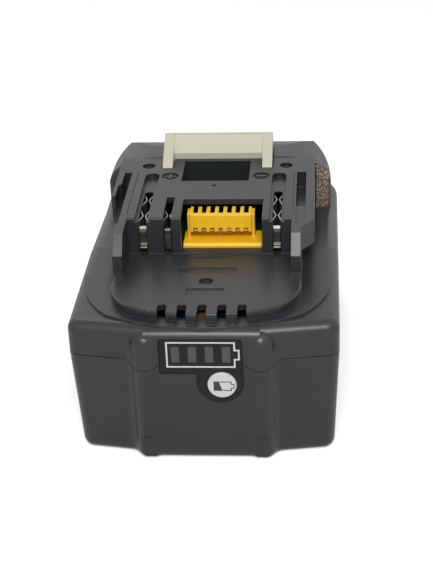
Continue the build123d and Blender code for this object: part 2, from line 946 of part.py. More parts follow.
def gauge_recess():
    depth = panel_recess + panel_thickness
    recess = gauge_outline(0, front_y - overrun, front_face + depth)
    half = gauge_board_half_width
    high = led_height / 2 + fit_gap
    through = block(gauge_centre_x - half, gauge_centre_x + half, front_face,
                    front_face + wall * 2, led_centre_z - high, led_centre_z + high)
    button_hole = disc_along_y(check_flange_radius + fit_gap, check_centre_x, check_centre_z,
                               front_face, front_face + wall * 2 + floor_inset_front)
    return recess + through + button_hole


def screw_wells():
    wells = []
    for x, y in screw_places():
        wells.append(disc(well_radius, x, y, -overrun, well_depth))
        wells.append(disc(screw_shank_radius + screw_hole_gap, x, y, 0,
                          well_depth + screw_shank_length + touch_gap))
    return Compound(wells)


def scoop():
    # A shallow round hollow with an arch on top, at the foot of a column.
    arch_z = scoop_height - scoop_arch_radius
    axis_y = front_y - scoop_gap
    round_part = disc(scoop_radius, column_centre, axis_y, -overrun, scoop_height)
    arch = block(column_centre - scoop_arch_radius, column_centre + scoop_arch_radius,
                 axis_y, column_y, -overrun, arch_z)
    arch += disc_along_y(scoop_arch_radius, column_centre, arch_z, axis_y, column_y)
    return round_part & arch


def lip(gap):
    # A low lip on the lower shell stands inside the upper shell.
    inner = case_plan(wall, parting_height)
    outer = case_plan(wall - lip_width - gap, parting_height)
    ring = extrude(Pos(0, 0, parting_height - touch_gap) * (outer - inner),
                   lip_height + touch_gap + gap)
    band = block(-half_width, half_width, front_y + lip_front_setback,
                 rear_y - lip_rear_setback, 0, roof_height)
    return ring & band


def case_shells():
    solid = outer_shape()
    hollow = cavity()
    cuts = (terminal_slots() + outer_slots() + seam_lines() + polarity_marks() + small_marks()
            + connector_opening() + latch_opening() + window_box(0) + gauge_recess())
    shell = solid - hollow - cuts - vents() - screw_wells()
    zone = parting_zone()
    lower = (shell & zone) + lip(0)
    upper = shell - Pos(0, 0, parting_gap) * zone - zone - lip(touch_gap)
    upper = upper + window_ribs() + vent_pads() + connector_sill()
    return lower, upper


def latch_hook():
    # The hook above the platform: a ramped bar between two side posts.
    top = rail_top_height + latch_rise
    rear = head_front + latch_bar_depth
    bar = [(head_front, rail_top_height), (head_front, rail_top_height + latch_bar_step),
           (head_front + latch_bar_crown, top - latch_bar_drop), (rear, top - latch_back_drop),
           (rear, rail_top_height)]
    post = [(head_front - latch_post_reach, rail_top_height), (head_front + latch_post_crown, top),
            (rear, top - latch_back_drop), (rear, rail_top_height)]
    inner = latch_half_width - latch_post_width
    hook = prism_along_x(bar, -inner, inner)
    return hook + mirrored_pair(prism_along_x(post, inner, latch_half_width))


def latch_column():
    # Under the hook, with blind bores for the springs.
    rear = head_front + latch_bar_depth
    front = head_front + fit_gap
    inner = latch_half_width - latch_post_width
    body = block(-latch_half_width, latch_half_width, front, rear, latch_column_bottom,
                 rail_top_height)
    post = block(inner, latch_half_width, head_front - latch_post_reach, front, latch_column_bottom,
                 rail_top_height)
    bore = disc(spring_bore_radius, spring_centre, spring_y, latch_column_bottom, spring_bore_top)
    web = block(-latch_web_half_width, latch_web_half_width, rear - wall,
                rear_y - pocket_depth + fit_gap + wall, latch_column_bottom,
                latch_column_bottom + latch_web_height)
    return body + mirrored_pair(post) - mirrored_pair(bore) + web


def latch_button():
    # The thumb button in the rear pocket, with ribs across it.
    top = pocket_top - fit_gap
    bottom = top - button_height
    inner = rear_y - pocket_depth + fit_gap
    outer = rear_y - button_inset
    crest = bottom + button_crest_height
    half = pocket_half_width - fit_gap
    points = [(inner, bottom), (outer, bottom), (outer, crest), (outer - button_lean, top),
              (inner, top)]
    button = prism_along_x(points, -half, half)
    button = button & extrude(head_plan(button_inset), roof_height)
    button = fillet(button.edges().filter_by(Axis.Z).filter_by(lambda e: e.center().Y > inner),
                    latch_edge_radius)
    for i in range(button_rib_count):
        z = bottom + button_rib_pitch * (i + 1 / 2)
        button -= block(-half, half, outer - button_rib_depth, outer + overrun,
                        z, z + button_rib_width)
    return button


def latch():
    return latch_hook() + latch_column() + latch_button()


def helix_point(angle, pitch):
    return Vector(spring_radius * cos(angle), spring_radius * sin(angle), pitch * angle / (2 * pi))


def helix_tangent(angle, pitch):
    rise = pitch / (2 * pi)
    return Vector(-spring_radius * sin(angle), spring_radius * cos(angle), rise).normalized()


def two_arcs(start, start_way, end, end_way):
    # Two tangent arcs that join two points along two given directions.
    chord = end - start
    both = start_way + end_way
    spread = 2 * (1 - start_way.dot(end_way))
    along = chord.dot(both)
    reach = (sqrt(along ** 2 + spread * chord.dot(chord)) - along) / spread
    leave = start + start_way * reach
    arrive = end - end_way * reach
    joint = (leave + arrive) * (1 / 2)
    first = TangentArc(start, joint, tangent=start_way)
    second = TangentArc(joint, end, tangent=(arrive - leave).normalized())
    return [first, second]


def latch_spring():
    # One unbroken wire, wound at a steady rate.
    bottom = carrier_top + touch_gap + spring_wire_radius
    length = spring_bore_top - bottom - touch_gap - spring_wire_radius
    pitch = length / spring_turns
    step = 2 * pi / arc_parts_per_turn
    arcs = []
    for i in range(spring_turns * arc_parts_per_turn):
        a0 = i * step
        a1 = a0 + step
        arcs += two_arcs(helix_point(a0, pitch), helix_tangent(a0, pitch),
                         helix_point(a1, pitch), helix_tangent(a1, pitch))
    path = Wire([arc.edge() for arc in arcs])
    section = Plane(origin=helix_point(0, pitch), z_dir=helix_tangent(0, pitch))
    wire = sweep(section * Circle(spring_wire_radius), path=path)
    print("spring gap between turns", round(pitch - 2 * spring_wire_radius, 3),
          "volume share", round(wire.volume / (pi * spring_wire_radius ** 2 * path.length), 4))
    return Pos(spring_centre, spring_y, bottom) * wire


def cell_column_y(column):
    return (column - (cell_columns - 1) / 2) * cell_pitch_along


def cell_row_z(row):
    return cell_first_z + row * cell_pitch_up


def cell():
    # A round cell lying along X, with its positive cap at the right.
    half = cell_length / 2
    body_end = half - cell_cap_height
    body = Pos((body_end - half) / 2, 0, 0) * Rot(0, 90, 0) * Cylinder(cell_radius, body_end + half)
    body = fillet(body.edges(), cell_edge_radius)
    cap = Pos(body_end, 0, 0) * Rot(0, 90, 0) * Cylinder(cell_cap_radius, cell_cap_height * 2)
    groove_x = body_end - cell_groove_inset
    ring = Cylinder(cell_radius + overrun, cell_groove_width)
    ring -= Cylinder(cell_radius - cell_groove_depth, cell_groove_width)
    return body + cap - Pos(groove_x, 0, 0) * Rot(0, 90, 0) * ring


def save_cells():
    # Neighbouring columns point opposite ways, so that the straps join them in series.
    one = cell()
    number = 0
    for column in range(cell_columns):
        turn = Rot(0, 0, 180 * (column % 2))
        for row in range(cell_rows):
            number += 1
            save("cell_" + str(number), Pos(0, cell_column_y(column), cell_row_z(row)) * turn * one)


def cell_holder():
    outer_x = cell_length / 2 - holder_inset
    half_length = (cell_columns - 1) / 2 * cell_pitch_along + cell_radius + holder_margin
    low = wall + touch_gap
    plate = block(outer_x - holder_thickness, outer_x, -half_length, half_length, low, holder_top)
    plate = fillet(plate.edges().filter_by(Axis.X), rim_radius)
    plate = plate & tub(wall + fit_gap, low, holder_top)
    for column in range(cell_columns):
        for row in range(cell_rows):
            bore = Rot(0, 90, 0) * Cylinder(cell_radius + holder_bore_gap, cell_length)
            plate -= Pos(outer_x, cell_column_y(column), cell_row_z(row)) * bore
    return plate


def strap(first, last, has_tab):
    # A nickel strap over the ends of one or two columns of cells.
    x = cell_length / 2
    low = cell_row_z(0) - strap_width / 2
    high = cell_row_z(cell_rows - 1) + strap_width / 2
    y0 = cell_column_y(first) - strap_width / 2
    y1 = cell_column_y(last) + strap_width / 2
    plate = block(x, x + strap_thickness, y0, y1, low, high)
    if last > first:
        middle = (y0 + y1) / 2
        slot = block(x, x + strap_thickness, middle - strap_edge / 2, middle + strap_edge / 2,
                     low + strap_edge * 2, high - strap_edge * 2)
        plate -= slot
    middle = cell_column_y(first)
    half_tab = strap_tab_width / 2
    bend = holder_top + strap_thickness
    end = board_half_width - strap_thickness
    up = block(x, x + strap_thickness, middle - half_tab, middle + half_tab, high, bend)
    over = block(end - strap_thickness, x, middle - half_tab, middle + half_tab, holder_top, bend)
    end_up = block(end - strap_thickness, end, middle - half_tab, middle + half_tab,
                   holder_top, board_bottom)
    return plate + up + over + end_up if has_tab else plate


def save_straps():
    last = cell_columns - 1
    for number, first in enumerate(range(0, last, 2)):
        save("cell_strap_right_" + str(number + 1), strap(first, first + 1, number < 2))
    save("cell_strap_right_" + str(last // 2 + 1), strap(last, last, False))
    left = mirror(strap(0, 0, True), Plane.YZ)
    save("cell_strap_left_1", left)
    for number, first in enumerate(range(1, last, 2)):
        joined = mirror(strap(first, first + 1, number < 1), Plane.YZ)
        save("cell_strap_left_" + str(number + 2), joined)


def insulator():
    x = cell_length / 2 + strap_thickness
    half_length = (cell_columns - 1) / 2 * cell_pitch_along + strap_width / 2 + insulator_margin
    low = cell_row_z(0) - strap_width / 2 - insulator_margin
    high = cell_row_z(cell_rows - 1) + strap_width / 2 + insulator_margin
    return block(x, x + insulator_thickness, -half_length, half_length, low, high)


def foam_pads():
    # Thin strips fill the gap under the valleys between the cells.
    pads = []
    half = cell_length / 2 - holder_inset - holder_thickness - foam_end_gap
    for column in range(cell_columns - 1):
        y = (cell_column_y(column) + cell_column_y(column + 1)) / 2
        pads.append(block(-half, half, y - foam_width / 2, y + foam_width / 2, wall,
                          wall + foam_width))
    return Compound(pads)


def board_screw_places():
    rows = (board_front + board_screw_edge_gap, board_rear - board_screw_rear_gap)
    return [(sign * board_screw_half_pitch, y) for sign in (-1, 1) for y in rows]


def board_carrier():
    # A plastic frame on top of the cells that holds the board and the springs.
    bottom = holder_top + touch_gap
    front = board_front - carrier_margin
    rear = board_rear + carrier_margin
    frame = block(-carrier_half_width, carrier_half_width, front, rear, bottom, carrier_top)
    frame -= block(-carrier_half_width + carrier_bar, carrier_half_width - carrier_bar,
                   front + carrier_window_margin, rear - carrier_window_margin, bottom, carrier_top)
    for x, y in board_screw_places():
        frame += disc(carrier_post_radius, x, y, bottom - carrier_boss_depth, board_bottom)
    half_arm = carrier_arm_width / 2
    arm_end = spring_y + half_arm
    arm_shape = block(spring_centre - half_arm, spring_centre + half_arm,
                      rear - carrier_arm_overlap, arm_end, bottom, carrier_top)
    pin = disc(spring_pin_radius, spring_centre, spring_y, carrier_top,
               carrier_top + spring_pin_height)
    frame += mirrored_pair(arm_shape + pin)
    for x, y in board_screw_places():
        frame -= disc(board_screw_shank_radius, x, y, 0, rail_top_height)
    return frame


def main_circuit_board():
    plate = block(-board_half_width, board_half_width, board_front, board_rear, board_bottom,
                  board_top)
    plate = fillet(plate.edges().filter_by(Axis.Z), board_corner)
    for x, y in board_screw_places():
        plate -= disc(board_screw_shank_radius + screw_hole_gap, x, y, board_bottom, board_top)
    return plate


def chips():
    solids = []
    for place_x, size_x, size_y, place_y, size_z in chip_shares:
        x = place_x * board_half_width
        y = board_front + place_y * (board_rear - board_front)
        half_x = size_x * board_half_width / 2
        half_y = size_y * board_half_width / 2
        solids.append(block(x - half_x, x + half_x, y - half_y, y + half_y, board_top,
                            board_top + size_z * board_thickness))
    return Compound(solids)


def board_screws():
    solids = []
    for x, y in board_screw_places():
        head_shape = disc(board_screw_head_radius, x, y, board_top,
                          board_top + board_screw_head_height)
        shank = disc(board_screw_shank_radius, x, y, board_top - board_screw_shank_length,
                     board_top)
        solids.append(head_shape + shank)
    return Compound(solids)


def case_screws():
    # Each screw has a round head with a six-sided socket and a pin in the socket.
    solids = []
    for x, y in screw_places():
        head_shape = disc(screw_head_radius, x, y, well_depth - screw_head_height, well_depth)
        low_edge = head_shape.edges().sort_by(Axis.Z)[0]
        head_shape = fillet(low_edge, screw_head_height / 3)
        socket = extrude(Pos(x, y, well_depth - screw_head_height)
                         * RegularPolygon(screw_socket_radius, 6), screw_socket_depth)
        pin = disc(screw_pin_radius, x, y, well_depth - screw_head_height / 2 - screw_socket_depth / 2,
                   well_depth)
        shank = disc(screw_shank_radius, x, y, well_depth, well_depth + screw_shank_length)
        solids.append(head_shape - socket + pin + shank)
    return Compound(solids)


def finger(y, side):
    # One spring finger of a contact, seen from above: bent in to the throat and out again.
    throat = terminal_throat_gap / 2
    flare = throat + terminal_flare
    reach = terminal_finger_half_length
    sheet = terminal_sheet
    inner = [(flare, y - reach), (throat, y), (flare, y + reach)]
    outer = [(flare + sheet, y + reach), (throat + sheet, y), (flare + sheet, y - reach)]
    return [(side * x, place) for x, place in inner + outer]


def contact(x, base_width, base_length, pair_places):
    # A stamped contact: a base on the board and pairs of fingers that grip a blade.
    front = platform_front + terminal_base_front_gap
    base_top = board_top + terminal_base_thickness
    top = rail_top_height - terminal_top_gap
    base = block(-base_width / 2, base_width / 2, front, front + base_length, board_top, base_top)
    lug = block(-base_width / 4, base_width / 4, front - terminal_lug_length, front,
                board_top, board_top + terminal_lug_height)
    shape = base + lug
    for y in pair_places:
        for side in (-1, 1):
            shape += prism_up(finger(y, side), board_top, top)
    return Pos(x, 0, 0) * shape


def power_contact(x):
    first = platform_front + terminal_first_setback
    places = (first, first + terminal_pair_pitch)
    return contact(x, terminal_base_width, terminal_base_length, places)


def charge_contact():
    first = platform_front + terminal_first_setback
    return contact(-charge_centre, charge_base_width, charge_base_length, (first,))


def connector_slots():
    middle = (connector_left + connector_right) / 2 - connector_block_offset
    return [middle + (i - (contact_count - 1) / 2) * contact_pitch for i in range(contact_count)]


def signal_connector():
    left = connector_left + connector_gap
    right = connector_right - connector_gap
    opening_rear = platform_front + connector_opening_length
    front = platform_front + connector_front_gap
    rear = opening_rear - connector_block_rear_gap
    middle = (connector_left + connector_right) / 2 - connector_block_offset
    half = connector_block_width / 2
    block_front = rear - connector_block_length
    block_low = connector_block_top - connector_block_height
    shape = block(left, right, front, rear, board_top, connector_base_top)
    edge = shape.edges().filter_by(Axis.X).filter_by(lambda e: e.center().Y < front + touch_gap)
    shape = chamfer(edge.sort_by(Axis.Z)[-1], connector_base_chamfer)
    shape += block(middle - half, middle + half, block_front, rear, block_low, connector_block_top)
    shape += block(middle - half, middle + half, rear - connector_wall, rear, board_top,
                   connector_block_top)
    cheek = block(half, half + connector_cheek_width, block_front + connector_cheek_setback, rear,
                  board_top, connector_cheek_top)
    shape += Pos(middle, 0, 0) * mirrored_pair(cheek)
    slot_half = connector_comb_width / 2
    hole_half = connector_hole_width / 2
    for x in connector_slots():
        shape -= block(x - slot_half, x + slot_half, rear - connector_comb_length,
                       rear + overrun, connector_block_top - connector_comb_depth,
                       connector_block_top + overrun)
        shape -= block(x - hole_half, x + hole_half, block_front - overrun, rear - connector_wall,
                       block_low - touch_gap, block_low + connector_hole_height)
    return shape


def signal_contacts():
    # Seven stamped strips stand in the connector, one behind each hole.
    opening_rear = platform_front + connector_opening_length
    rear = opening_rear - connector_block_rear_gap
    block_front = rear - connector_block_length
    low = connector_block_top - connector_block_height
    low += (connector_hole_height - contact_thickness) / 2
    strips = []
    for x in connector_slots():
        strips.append(block(x - contact_width / 2, x + contact_width / 2,
                            block_front + contact_top_gap, rear - connector_wall,
                            low, low + contact_thickness))
    return Compound(strips)


def gauge_panel():
    back = front_face + panel_recess + panel_thickness
    panel = gauge_outline(panel_gap, front_face + panel_recess, back)
    panel -= disc_along_y(check_radius + check_gap, check_centre_x, check_centre_z,
                          front_y, back + overrun)
    for x in led_places():
        panel -= block(x - led_width / 2, x + led_width / 2, front_y, back + overrun,
                       led_centre_z - led_height / 2, led_centre_z + led_height / 2)
    return panel - gauge_frame()


def gauge_frame():
    # The battery outline round the four lamps, sunk into the panel.
    half = gauge_frame_half_width
    line = gauge_frame_line
    deep = front_face + panel_recess + gauge_frame_depth
    high = gauge_frame_half_height
    nub_high = gauge_nub_half_height
    frame = block(-half, half, front_y, deep, -high, high)
    frame += block(half - line, half + gauge_nub_width, front_y, deep, -nub_high, nub_high)
    frame -= block(-half + line, half - line, front_y, deep, -high + line, high - line)
    frame -= block(half - line, half + gauge_nub_width - line, front_y, deep,
                   -nub_high + line, nub_high - line)
    return Pos(gauge_centre_x, 0, led_centre_z) * frame


def led_places():
    middle = (led_count - 1) / 2
    return [gauge_centre_x + (i - middle) * led_pitch for i in range(led_count)]


def gauge_board_front():
    return front_face + gauge_board_depth


def gauge_leds():
    # Each lamp fills its window in the panel and sits on the gauge board.
    solids = []
    for x in led_places():
        solids.append(block(x - led_width / 2 + led_lens_gap, x + led_width / 2 - led_lens_gap,
                            front_face + panel_recess + led_lens_gap * 2, gauge_board_front(),
                            led_centre_z - led_height / 2 + led_lens_gap,
                            led_centre_z + led_height / 2 - led_lens_gap))
    return Compound(solids)


def gauge_board():
    half = gauge_board_half_width
    front = gauge_board_front()
    return block(gauge_centre_x - half, gauge_centre_x + half, front,
                 front + gauge_board_thickness, gauge_board_bottom, gauge_board_top)


def switch_y():
    return gauge_board_front() - switch_body_length


def check_switch():
    half = switch_size / 2
    body = block(check_centre_x - half, check_centre_x + half, switch_y(), gauge_board_front(),
                 check_centre_z - half, check_centre_z + half)
    return body - disc_along_y(plunger_radius + check_gap, check_centre_x, check_centre_z,
                               switch_y(), gauge_board_front())


def plunger_face():
    return switch_y() - check_travel


def switch_plunger():
    return disc_along_y(plunger_radius, check_centre_x, check_centre_z, plunger_face(),
                        gauge_board_front() - check_travel - touch_gap)


def check_button():
    front = front_face + panel_recess - check_proud
    back = front_face + panel_recess + panel_thickness
    face = disc_along_y(check_radius, check_centre_x, check_centre_z, front, back)
    edge = face.edges().sort_by(Axis.Y)[0]
    face = fillet(edge, check_proud)
    flange = disc_along_y(check_flange_radius, check_centre_x, check_centre_z, back + touch_gap,
                          back + touch_gap + check_flange_thickness)
    neck = disc_along_y(check_radius, check_centre_x, check_centre_z, back, back + touch_gap)
    stem = disc_along_y(check_stem_radius, check_centre_x, check_centre_z, back, plunger_face())
    return face + flange + neck + stem


def gauge_cable():
    # A flat cable climbs from the gauge board and lies on the front of the main board.
    y0 = gauge_board_front() + gauge_board_thickness
    land = board_front + cable_width / 2
    low = gauge_board_top - cable_width
    high = board_top + cable_thickness
    points = [(y0, low), (y0 + cable_thickness, low), (y0 + cable_thickness, board_top),
              (land, board_top), (land, high), (y0, high)]
    return prism_along_x(points, -cable_width / 2, cable_width / 2)


def thermistor():
    y = cell_column_y(cell_columns // 2)
    low = cell_top
    bead = Pos(0, y, low + thermistor_radius) * Sphere(thermistor_radius)
    leads = block(-thermistor_radius / 2, thermistor_radius / 2, y, y + cable_thickness,
                  low + thermistor_radius, board_bottom)
    return bead + leads


def foil_label():
    x0 = flange_half_width + label_inset
    z0 = shoulder_low + label_foot_gap
    return block(x0, x0 + label_width, head_front - label_thickness, head_front, z0,
                 z0 + label_height)


def save(name, shape):
    shape.label = name
    export_step(shape, "parts/" + name + ".step")


def save_all():
    lower_case, upper_case = case_shells()
    save("lower_case", lower_case)
    save("upper_case", upper_case)
    save("latch", latch())
    spring = latch_spring()
    save("latch_spring_right", spring)
    save("latch_spring_left", mirror(spring, Plane.YZ))
    save_cells()
    holder = cell_holder()
    save("cell_holder_right", holder)
    save("cell_holder_left", mirror(holder, Plane.YZ))
    save_straps()
    sheet = insulator()
    save("insulator_right", sheet)
    save("insulator_left", mirror(sheet, Plane.YZ))
    save("foam_pads", foam_pads())
    save("board_carrier", board_carrier())
    save("main_circuit_board", main_circuit_board())
    save("board_chips", chips())
    save("board_screws", board_screws())
    save("case_screws", case_screws())
    save("positive_terminal", power_contact(-terminal_centre))
    save("negative_terminal", power_contact(terminal_centre))
    save("charge_terminal", charge_contact())
    save("signal_connector", signal_connector())
    save("signal_contacts", signal_contacts())
    save("gauge_panel", gauge_panel())
    save("gauge_leds", gauge_leds())
    save("gauge_board", gauge_board())
    save("gauge_cable", gauge_cable())
    save("check_switch", check_switch())
    save("switch_plunger", switch_plunger())
    save("check_button", check_button())
    save("thermistor", thermistor())
    save("foil_label", foil_label())


os.makedirs("parts", exist_ok=True)
save_all()
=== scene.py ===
import bpy
import bmesh
from math import radians, sin, cos
from mathutils import Matrix, Vector


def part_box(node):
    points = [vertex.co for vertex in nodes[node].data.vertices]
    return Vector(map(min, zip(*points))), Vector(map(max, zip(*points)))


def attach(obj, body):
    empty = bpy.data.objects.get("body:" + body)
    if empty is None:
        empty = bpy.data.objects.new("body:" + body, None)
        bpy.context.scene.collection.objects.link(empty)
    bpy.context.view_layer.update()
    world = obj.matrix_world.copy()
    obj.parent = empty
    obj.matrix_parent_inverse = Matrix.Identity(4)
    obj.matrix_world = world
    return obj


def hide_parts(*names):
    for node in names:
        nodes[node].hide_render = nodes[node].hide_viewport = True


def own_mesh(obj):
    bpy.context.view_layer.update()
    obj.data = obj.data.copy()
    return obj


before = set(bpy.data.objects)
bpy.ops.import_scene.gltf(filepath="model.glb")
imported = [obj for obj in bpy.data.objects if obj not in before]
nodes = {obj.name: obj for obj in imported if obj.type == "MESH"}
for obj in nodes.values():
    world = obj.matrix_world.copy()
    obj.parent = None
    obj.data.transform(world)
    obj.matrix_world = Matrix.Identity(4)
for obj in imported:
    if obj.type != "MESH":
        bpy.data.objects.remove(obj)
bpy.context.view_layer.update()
scene = bpy.context.scene
mm = 0.001
print("frame loaded:", len(nodes), "nodes")

camera = {
    "place": (33.2, -383.1, 232.4),   # mm from the pack's origin
    "yaw": -4.943,                    # degrees, as are the next two
    "pitch": 28.168,
    "roll": 2.361,
    "focal": 1411.4,                  # in pixels of the photograph
    "photoHeight": 577,
    "sensor": 36.0,
    "clipStart": 0.01,                # metres
}


def addObject(name, data):
    obj = bpy.data.objects.new(name, data)
    scene.collection.objects.link(obj)
    return obj


def addCamera(c):
    data = bpy.data.cameras.new("photoCamera")
    obj = addObject("photoCamera", data)
    data.sensor_fit = "VERTICAL"
    data.sensor_height = c["sensor"]
    data.lens = c["focal"] * c["sensor"] / c["photoHeight"]
    data.clip_start = c["clipStart"]
    yaw, pitch, roll = radians(c["yaw"]), radians(c["pitch"]), radians(c["roll"])
    forward = Vector((sin(yaw) * cos(pitch), cos(yaw) * cos(pitch), -sin(pitch)))
    level = Vector((cos(yaw), -sin(yaw), 0))
    down = forward.cross(level)
    right = cos(roll) * level + sin(roll) * down
    lower = -sin(roll) * level + cos(roll) * down
    turn = Matrix((right, -lower, -forward)).transposed()
    obj.matrix_world = Matrix.Translation(Vector(c["place"]) * mm) @ turn.to_4x4()
    scene.camera = obj


addCamera(camera)


def srgb(red, green, blue):
    # 0 to 255 as seen on a screen, to the shader's linear colour
    def line(v):
        v = v / 255
        return v / 12.92 if v < 0.04045 else ((v + 0.055) / 1.055) ** 2.4
    return (line(red), line(green), line(blue), 1.0)


def newMaterial(name):
    mat = bpy.data.materials.new(name)
    mat.use_nodes = True
    return mat, mat.node_tree, mat.node_tree.nodes["Principled BSDF"]


def addNode(tree, kind, **values):
    node = tree.nodes.new(kind)
    for key, value in values.items():
        if key in node.inputs:
            node.inputs[key].default_value = value
        else:
            setattr(node, key, value)
    return node


def newTree(name, kind, inputs, outputs):
    # an empty node tree with named inputs and outputs
    tree = bpy.data.node_groups.new(name, kind)
    for way, sockets in (("INPUT", inputs), ("OUTPUT", outputs)):
        for label, value in sockets:
            tree.interface.new_socket(label, in_out=way, socket_type="NodeSocket" + value)
    return tree, tree.nodes.new("NodeGroupInput"), tree.nodes.new("NodeGroupOutput")


def useGroup(tree, group, **values):
    node = tree.nodes.new("ShaderNodeGroup")
    node.node_tree = group
    for key, value in values.items():
        node.inputs[key].default_value = value
    return node


grainLook = {"fineDetail": 3.0, "fineRoughness": 0.6, "slowScale": 45.0, "slowDetail": 3.0}


def makeMouldGrain(v):
    # fine pits and a slow waviness, as a moulding tool leaves them
    group, start, end = newTree(
        "mouldGrain", "ShaderNodeTree",
        [("Point", "Vector"), ("Grain", "Float"), ("Pits", "Float")],
        [("Height", "Float"), ("Tone", "Float")])
    fine = addNode(group, "ShaderNodeTexNoise", Detail=v["fineDetail"],
                   Roughness=v["fineRoughness"])
    pits = addNode(group, "ShaderNodeTexVoronoi", Randomness=1.0)
    slow = addNode(group, "ShaderNodeTexNoise", Scale=v["slowScale"], Detail=v["slowDetail"])
    mix = addNode(group, "ShaderNodeMix", data_type="FLOAT")
    for texture in (fine, pits, slow):
        group.links.new(start.outputs["Point"], texture.inputs["Vector"])
    for texture in (fine, pits):
        group.links.new(start.outputs["Grain"], texture.inputs["Scale"])
    group.links.new(start.outputs["Pits"], mix.inputs["Factor"])
    group.links.new(fine.outputs["Fac"], mix.inputs["A"])
    group.links.new(pits.outputs["Distance"], mix.inputs["B"])
    group.links.new(mix.outputs["Result"], end.inputs["Height"])
    group.links.new(slow.outputs["Fac"], end.inputs["Tone"])
    return group


edgeLook = {
    "radius": 0.2,                              # in mm
    "samples": 6,
    "flatCosine": 0.998, "sharpCosine": 0.80,   # of how far the rounded normal leans
}


def makeSoftEdge(v):
    # rounds sharp edges in the shading and says where they are, scaled by the share that lightens
    # them for wear and a painted highlight
    group, start, end = newTree("softEdge", "ShaderNodeTree", [("Wear", "Float")],
                                [("Normal", "Vector"), ("Edge", "Float")])
    bevel = addNode(group, "ShaderNodeBevel", samples=v["samples"], Radius=v["radius"] * mm)
    plain = addNode(group, "ShaderNodeNewGeometry")
    dot = addNode(group, "ShaderNodeVectorMath", operation="DOT_PRODUCT")
    spread = addNode(group, "ShaderNodeMapRange")
    spread.inputs["From Min"].default_value = v["flatCosine"]
    spread.inputs["From Max"].default_value = v["sharpCosine"]
    spread.inputs["To Min"].default_value = 0.0
    group.links.new(bevel.outputs["Normal"], dot.inputs[0])
    group.links.new(plain.outputs["Normal"], dot.inputs[1])
    group.links.new(dot.outputs["Value"], spread.inputs["Value"])
    group.links.new(start.outputs["Wear"], spread.inputs["To Max"])
    group.links.new(bevel.outputs["Normal"], end.inputs["Normal"])
    group.links.new(spread.outputs["Result"], end.inputs["Edge"])
    return group


lintLook = {"scale": 420.0, "size": 0.07, "colour": (150, 150, 146)}


def makeLint(v):
    # a few pale dust specks
    group, start, end = newTree("lint", "ShaderNodeTree",
                                [("Point", "Vector"), ("Amount", "Float")],
                                [("Mask", "Float")])
    cells = addNode(group, "ShaderNodeTexVoronoi", Scale=v["scale"], Randomness=1.0)
    few = addNode(group, "ShaderNodeSeparateColor")
    small = addNode(group, "ShaderNodeMath", operation="LESS_THAN")
    small.inputs[1].default_value = v["size"]
    rare = addNode(group, "ShaderNodeMath", operation="LESS_THAN")
    both = addNode(group, "ShaderNodeMath", operation="MULTIPLY")
    group.links.new(start.outputs["Point"], cells.inputs["Vector"])
    group.links.new(cells.outputs["Distance"], small.inputs[0])
    group.links.new(cells.outputs["Color"], few.inputs["Color"])
    group.links.new(few.outputs["Red"], rare.inputs[0])
    group.links.new(start.outputs["Amount"], rare.inputs[1])
    group.links.new(small.outputs[0], both.inputs[0])
    group.links.new(rare.outputs[0], both.inputs[1])
    group.links.new(both.outputs[0], end.inputs["Mask"])
    return group


mouldGrain = makeMouldGrain(grainLook)
softEdge = makeSoftEdge(edgeLook)
lint = makeLint(lintLook)
glowLook = {"radius": (1.0, 0.6, 0.2), "depth": 1.2}   # how light spreads in pale plastic


def plastic(name, colour, dark, wearAndHighlightColour, rough, roughSpread=0.08, grain=3000.0, pits=0.3, bump=0.02,
            wearAndHighlightShare=0.5, dust=0.0, coat=0.0, glow=0.0, gloss=0.5):
    # moulded plastic: two tones, grain, softened edges made lighter by wear and a painted
    # highlight, dust
    mat, tree, shader = newMaterial(name)
    point = addNode(tree, "ShaderNodeTexCoord").outputs["Object"]
    surface = useGroup(tree, mouldGrain, Grain=grain, Pits=pits)
    edge = useGroup(tree, softEdge, Wear=wearAndHighlightShare)
    tone = addNode(tree, "ShaderNodeMix", data_type="RGBA")
    tone.inputs["A"].default_value = srgb(*dark)
    tone.inputs["B"].default_value = srgb(*colour)
    # lighter edges: partly rubbed wear, partly a painted highlight
    wearAndHighlightMix = addNode(tree, "ShaderNodeMix", data_type="RGBA")
    wearAndHighlightMix.inputs["B"].default_value = srgb(*wearAndHighlightColour)
    relief = addNode(tree, "ShaderNodeBump", Strength=1.0, Distance=bump * mm)
    roughness = addNode(tree, "ShaderNodeMapRange")
    roughness.inputs["To Min"].default_value = rough - roughSpread
    roughness.inputs["To Max"].default_value = rough + roughSpread
    tree.links.new(point, surface.inputs["Point"])
    tree.links.new(surface.outputs["Tone"], tone.inputs["Factor"])
    tree.links.new(tone.outputs["Result"], wearAndHighlightMix.inputs["A"])
    tree.links.new(edge.outputs["Edge"], wearAndHighlightMix.inputs["Factor"])
    colourOut = wearAndHighlightMix.outputs["Result"]
    if dust:
        specks = useGroup(tree, lint, Amount=dust)
        sprinkle = addNode(tree, "ShaderNodeMix", data_type="RGBA")
        sprinkle.inputs["B"].default_value = srgb(*lintLook["colour"])
        tree.links.new(point, specks.inputs["Point"])
        tree.links.new(specks.outputs["Mask"], sprinkle.inputs["Factor"])
        tree.links.new(colourOut, sprinkle.inputs["A"])
        colourOut = sprinkle.outputs["Result"]
    tree.links.new(colourOut, shader.inputs["Base Color"])
    tree.links.new(surface.outputs["Height"], relief.inputs["Height"])
    tree.links.new(edge.outputs["Normal"], relief.inputs["Normal"])
    tree.links.new(relief.outputs["Normal"], shader.inputs["Normal"])
    tree.links.new(surface.outputs["Tone"], roughness.inputs["Value"])
    tree.links.new(roughness.outputs["Result"], shader.inputs["Roughness"])
    shader.inputs["Coat Weight"].default_value = coat
    shader.inputs["Specular IOR Level"].default_value = gloss
    if glow:
        shader.inputs["Subsurface Weight"].default_value = glow
        shader.inputs["Subsurface Radius"].default_value = glowLook["radius"]
        shader.inputs["Subsurface Scale"].default_value = glowLook["depth"] * mm
    return mat


